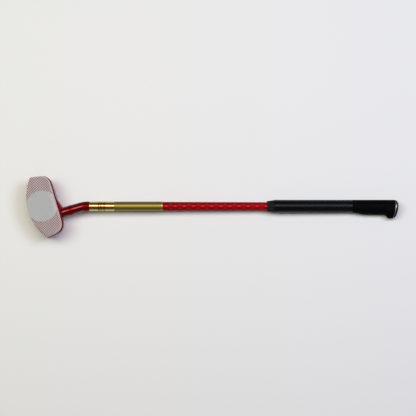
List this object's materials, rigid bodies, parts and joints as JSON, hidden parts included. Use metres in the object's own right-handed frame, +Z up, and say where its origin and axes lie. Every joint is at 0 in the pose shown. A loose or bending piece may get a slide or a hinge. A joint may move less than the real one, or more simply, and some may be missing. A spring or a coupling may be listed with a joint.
{
  "type": "ground golf club",
  "caption": "Ground golf club: lacquered wooden head with a flat hitting plate, bent neck, gold ferrule and sleeve, red fibre shaft and black rubber grip with a domed cap.",
  "frame": {"origin": "on the floor, under the middle of the club's bounding box, with the club lying on the flat back of its head and the butt of its grip", "axes": "+X along the shaft towards the butt (leaning 1.4 degrees down to it), +Y towards the head's toe, +Z up, the way the hitting face looks"},
  "size_m": [0.8396, 0.1392, 0.0588],
  "materials": {
    "printed_face": "hard resin, grey middle and a fine pink and white check, satin gloss",
    "white_resin": "white resin, satin",
    "red_lacquered_wood": "hard wood under candy red lacquer, high gloss",
    "brass_plate": "brushed brass, lightly scuffed",
    "steel_screw": "plain steel",
    "red_painted_metal": "solid aluminium under candy red paint, high gloss",
    "black_rubber": "black rubber, matte",
    "polished_gold": "pale gold, polished",
    "satin_gold": "gold anodised, satin",
    "bright_gold": "gold anodised, bright",
    "red_shaft": "clear-coated red fibre laminate with a faint diamond lattice",
    "speckled_rubber": "dark grey rubber with fine speckles, matte",
    "textured_rubber": "black rubber with small raised dots, semi-matte",
    "smooth_rubber": "black rubber, smooth and matte",
    "black_plastic": "black nylon",
    "dull_gold": "dull gold anodised",
    "gloss_black": "black, high gloss"
  },
  "bodies": {
    "root": {"face_plate": "printed_face", "face_backing": "white_resin", "head_body": "red_lacquered_wood", "sole_plate": "brass_plate", "sole_screw_toe": "steel_screw", "sole_screw_heel": "steel_screw", "neck": "red_painted_metal", "neck_collar": "black_rubber", "ferrule": "polished_gold", "gold_sleeve": "satin_gold", "sleeve_ring": "bright_gold", "shaft_tube": "red_shaft", "grip_collar": "speckled_rubber", "lower_grip": "textured_rubber", "upper_grip": "smooth_rubber", "butt_plug": "black_plastic", "trim_ring": "dull_gold", "end_cap": "gloss_black"}
  },
  "joints": []
}
